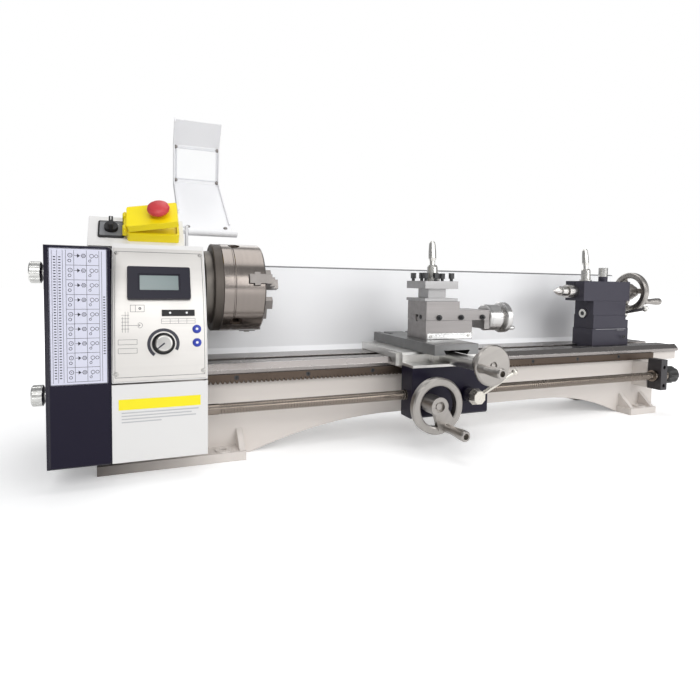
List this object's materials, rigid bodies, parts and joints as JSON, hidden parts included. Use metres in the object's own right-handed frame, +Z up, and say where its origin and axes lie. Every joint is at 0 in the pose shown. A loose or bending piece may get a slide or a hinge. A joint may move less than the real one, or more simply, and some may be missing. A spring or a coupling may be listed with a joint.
{
  "type": "small metal lathe",
  "caption": "Bench metal lathe: box bed on feet, headstock with three-jaw chuck and raised guard, carriage with cross and top slides, tailstock.",
  "frame": {"origin": "on the floor, at the middle of the four base bolts", "axes": "+X along the bed from the headstock to the tailstock, +Y to the back, +Z up"},
  "size_m": [1.115, 0.4896, 0.5212],
  "materials": {
    "bed_paint": "light grey paint, ground ways",
    "dark_steel": "oiled",
    "black_steel": "black oxide",
    "guard_sheet": "semi-gloss",
    "casting_paint": "painted",
    "bearing_steel": "ground",
    "white_paint": "semi-gloss",
    "panel_aluminium": "brushed",
    "screw_steel": "plain",
    "display_plastic": "gloss",
    "grey_plastic": "matt",
    "black_plastic": "matt",
    "yellow_plastic": "gloss",
    "red_plastic": "gloss",
    "grey_steel": "plain",
    "guard_paint": "semi-gloss",
    "clear_window": "clear",
    "motor_paint": "satin",
    "pulley_aluminium": "turned",
    "belt_rubber": "matt",
    "dark_casting": "painted",
    "gear_steel": "machined",
    "navy_paint": "semi-gloss",
    "knurled_steel": "knurled",
    "spindle_steel": "ground",
    "plate_iron": "turned",
    "chuck_steel": "ground",
    "jaw_steel": "ground",
    "screw_bar_steel": "machined",
    "black_casting": "painted",
    "ground_iron": "ground",
    "navy_casting": "painted",
    "nut_bronze": "machined",
    "chrome": "polished",
    "wheel_steel": "turned",
    "slide_iron": "ground",
    "dial_steel": "satin",
    "post_steel": "ground",
    "handle_steel": "satin",
    "slate_casting": "painted",
    "quill_steel": "ground"
  },
  "bodies": {
    "base": {"bed": "bed_paint", "rack": "dark_steel", "rack_screws": "black_steel", "splash_guard": "guard_sheet", "headstock": "casting_paint", "spindle_bearings": "bearing_steel", "head_cover": "white_paint", "control_panel": "panel_aluminium", "panel_screws": "screw_steel", "display": "display_plastic", "lower_cover": "white_paint", "control_box": "white_paint", "switch_plate": "grey_plastic", "estop_box": "yellow_plastic", "guard_hinge": "grey_steel", "motor": "motor_paint", "drive_belt": "belt_rubber", "feed_bearing": "dark_casting", "screw_bracket": "black_casting"},
    "gear_cover": {"gear_cover": "navy_paint", "cover_knobs": "knurled_steel"},
    "switch_knob": {"switch_knob": "black_plastic"},
    "estop_lid": {"estop_lid": "yellow_plastic"},
    "estop_button": {"estop_button": "red_plastic"},
    "speed_knob": {"speed_knob": "black_plastic"},
    "chuck_guard": {"guard": "guard_paint", "guard_window": "clear_window"},
    "motor_shaft": {"motor_pulley": "pulley_aluminium"},
    "idler": {"idler_gear": "gear_steel"},
    "spindle": {"spindle": "spindle_steel", "chuck_plate": "plate_iron", "chuck_studs": "screw_steel", "chuck_body": "chuck_steel"},
    "pinion_1": {"chuck_pinion_1": "dark_steel"},
    "pinion_2": {"chuck_pinion_2": "dark_steel"},
    "pinion_3": {"chuck_pinion_3": "dark_steel"},
    "jaw_1": {"jaw_1": "jaw_steel"},
    "jaw_2": {"jaw_2": "jaw_steel"},
    "jaw_3": {"jaw_3": "jaw_steel"},
    "lead_screw": {"lead_screw": "screw_bar_steel"},
    "carriage": {"saddle": "ground_iron", "apron": "navy_casting"},
    "half_nut_upper": {"half_nut_upper": "nut_bronze"},
    "half_nut_lower": {"half_nut_lower": "nut_bronze"},
    "half_nut_lever": {"half_nut_lever": "chrome"},
    "carriage_wheel": {"carriage_wheel": "wheel_steel"},
    "cross_slide": {"cross_slide": "slide_iron"},
    "cross_wheel": {"cross_wheel": "wheel_steel"},
    "compound": {"compound_base": "ground_iron"},
    "top_slide": {"top_slide": "ground_iron"},
    "compound_wheel": {"compound_wheel": "dial_steel"},
    "tool_post": {"tool_post": "post_steel", "post_screws": "black_steel"},
    "post_lever": {"post_lever": "handle_steel"},
    "tailstock": {"tail_sole": "slate_casting", "tail_body": "slate_casting"},
    "quill": {"quill": "quill_steel"},
    "tail_wheel": {"tail_wheel": "wheel_steel"},
    "quill_lock": {"quill_lock": "handle_steel"},
    "tail_lock": {"tail_lock": "handle_steel"}
  },
  "joints": [
    {"name": "gear_cover_off", "type": "slide", "parent": "base", "child": "gear_cover", "axis": [-1, 0, 0], "range_m": [0, 0.16]},
    {"name": "chuck_guard_swing", "type": "hinge", "parent": "base", "child": "chuck_guard", "pos_m": [-0.3933, 0.08, 0.314], "axis": [1, 0, 0], "range_deg": [0, 138]},
    {"name": "switch_turn", "type": "hinge", "parent": "base", "child": "switch_knob", "pos_m": [-0.527, 0.00704, 0.3052], "axis": [0, -0.725, 0.6887], "range_deg": [-45, 45]},
    {"name": "estop_lid_swing", "type": "hinge", "parent": "base", "child": "estop_lid", "pos_m": [-0.5099, -0.00525, 0.3155], "axis": [0, 0.6887, 0.725], "range_deg": [-85, 11]},
    {"name": "estop_press", "type": "slide", "parent": "estop_lid", "child": "estop_button", "axis": [0.2079, 0.7092, -0.6737], "range_m": [0, 0.004], "stiffness_N_per_m": 400, "springref_m": -0.001},
    {"name": "speed_turn", "type": "hinge", "parent": "base", "child": "speed_knob", "pos_m": [-0.4672, -0.12278, 0.16384], "axis": [0, 0.9893, -0.1461], "range_deg": [0, 270]},
    {"name": "spindle_spin", "type": "hinge", "parent": "base", "child": "spindle", "pos_m": [-0.39, 0, 0.229], "axis": [1, 0, 0], "continuous": true},
    {"name": "motor_spin", "type": "hinge", "parent": "base", "child": "motor_shaft", "pos_m": [-0.523, 0.106, 0.078], "axis": [1, 0, 0], "continuous": true},
    {"name": "idler_spin", "type": "hinge", "parent": "base", "child": "idler", "pos_m": [-0.569, -0.03558, 0.13984], "axis": [1, 0, 0], "continuous": true},
    {"name": "lead_screw_spin", "type": "hinge", "parent": "base", "child": "lead_screw", "pos_m": [0, -0.098, 0.075], "axis": [1, 0, 0], "continuous": true},
    {"name": "pinion_1_turn", "type": "hinge", "parent": "spindle", "child": "pinion_1", "pos_m": [-0.368, -0.01545, 0.27655], "axis": [0, -0.309, 0.9511], "range_deg": [-2170, 2602]},
    {"name": "pinion_2_turn", "type": "hinge", "parent": "spindle", "child": "pinion_2", "pos_m": [-0.368, -0.03346, 0.19184], "axis": [0, -0.6691, -0.7431], "range_deg": [-2170, 2602]},
    {"name": "pinion_3_turn", "type": "hinge", "parent": "spindle", "child": "pinion_3", "pos_m": [-0.368, 0.04891, 0.2186], "axis": [0, 0.9781, -0.2079], "range_deg": [-2170, 2602]},
    {"name": "jaw_1_slide", "type": "slide", "parent": "spindle", "child": "jaw_1", "axis": [0, -0.9781, 0.2079], "range_m": [-0.01, 0.012]},
    {"name": "jaw_2_slide", "type": "slide", "parent": "spindle", "child": "jaw_2", "axis": [0, 0.309, -0.9511], "range_m": [-0.0101, 0.0121]},
    {"name": "jaw_3_slide", "type": "slide", "parent": "spindle", "child": "jaw_3", "axis": [0, 0.6691, 0.7431], "range_m": [-0.0101, 0.0121]},
    {"name": "carriage_travel", "type": "slide", "parent": "base", "child": "carriage", "axis": [1, 0, 0], "range_m": [-0.17, 0.15]},
    {"name": "carriage_wheel_turn", "type": "hinge", "parent": "carriage", "child": "carriage_wheel", "pos_m": [-0.109, -0.148, 0.069], "axis": [0, 1, 0], "range_deg": [-3070, 2710]},
    {"name": "half_nut_lever_turn", "type": "hinge", "parent": "carriage", "child": "half_nut_lever", "pos_m": [-0.037, -0.138, 0.075], "axis": [0, 1, 0], "range_deg": [0, 50]},
    {"name": "half_nut_upper_close", "type": "slide", "parent": "carriage", "child": "half_nut_upper", "axis": [0, 0, -1], "range_m": [0, 0.0048]},
    {"name": "half_nut_lower_close", "type": "slide", "parent": "carriage", "child": "half_nut_lower", "axis": [0, 0, 1], "range_m": [0, 0.0048]},
    {"name": "cross_travel", "type": "slide", "parent": "carriage", "child": "cross_slide", "axis": [0, 1, 0], "range_m": [-0.044, 0.018]},
    {"name": "cross_wheel_turn", "type": "hinge", "parent": "carriage", "child": "cross_wheel", "pos_m": [-0.058, -0.18, 0.1315], "axis": [0, 1, 0], "range_deg": [-7930, 3250]},
    {"name": "compound_swivel", "type": "hinge", "parent": "cross_slide", "child": "compound", "pos_m": [-0.052, -0.038, 0.1513], "axis": [0, 0, 1], "range_deg": [-45, 30]},
    {"name": "top_slide_travel", "type": "slide", "parent": "compound", "child": "top_slide", "axis": [1, 0, 0], "range_m": [-0.03, 0.013]},
    {"name": "compound_wheel_turn", "type": "hinge", "parent": "top_slide", "child": "compound_wheel", "pos_m": [0.049, -0.038, 0.1833], "axis": [1, 0, 0], "range_deg": [-7210, 3130]},
    {"name": "tool_post_index", "type": "hinge", "parent": "top_slide", "child": "tool_post", "pos_m": [-0.052, -0.038, 0.2116], "axis": [0, 0, 1], "continuous": true},
    {"name": "post_lever_turn", "type": "hinge", "parent": "top_slide", "child": "post_lever", "pos_m": [-0.052, -0.038, 0.2436], "axis": [0, 0, 1], "range_deg": [-60, 60]},
    {"name": "tailstock_travel", "type": "slide", "parent": "base", "child": "tailstock", "axis": [1, 0, 0], "range_m": [-0.12, 0.05]},
    {"name": "quill_travel", "type": "slide", "parent": "tailstock", "child": "quill", "axis": [-1, 0, 0], "range_m": [-0.0181, 0.0451]},
    {"name": "tail_wheel_turn", "type": "hinge", "parent": "tailstock", "child": "tail_wheel", "pos_m": [0.443, 0, 0.229], "axis": [-1, 0, 0], "range_deg": [-3240, 8100]},
    {"name": "quill_lock_turn", "type": "hinge", "parent": "tailstock", "child": "quill_lock", "pos_m": [0.319, 0, 0.253], "axis": [0, 0, 1], "range_deg": [-30, 60]},
    {"name": "tail_lock_turn", "type": "hinge", "parent": "tailstock", "child": "tail_lock", "pos_m": [0.413, 0, 0.186], "axis": [1, 0, 0], "range_deg": [-40, 55]}
  ],
  "couplings": [
    {"joint": "motor_spin", "follows": "spindle_spin", "ratio": 2.2222},
    {"joint": "idler_spin", "follows": "spindle_spin", "ratio": -0.45455},
    {"joint": "lead_screw_spin", "follows": "spindle_spin", "ratio": 1.25},
    {"joint": "jaw_2_slide", "follows": "jaw_1_slide", "ratio": 1},
    {"joint": "jaw_3_slide", "follows": "jaw_1_slide", "ratio": 1},
    {"joint": "pinion_1_turn", "follows": "jaw_1_slide", "rad_per_m": 3769.9},
    {"joint": "pinion_2_turn", "follows": "jaw_1_slide", "rad_per_m": 3769.9},
    {"joint": "pinion_3_turn", "follows": "jaw_1_slide", "rad_per_m": 3769.9},
    {"joint": "carriage_wheel_turn", "follows": "carriage_travel", "rad_per_m": 314.16},
    {"joint": "half_nut_upper_close", "follows": "half_nut_lever_turn", "m_per_rad": 0.0053858},
    {"joint": "half_nut_lower_close", "follows": "half_nut_lever_turn", "m_per_rad": 0.0053858},
    {"joint": "cross_wheel_turn", "follows": "cross_travel", "rad_per_m": 3141.6},
    {"joint": "compound_wheel_turn", "follows": "top_slide_travel", "rad_per_m": 4188.8},
    {"joint": "quill_travel", "follows": "tail_wheel_turn", "m_per_rad": 0.00031831}
  ]
}
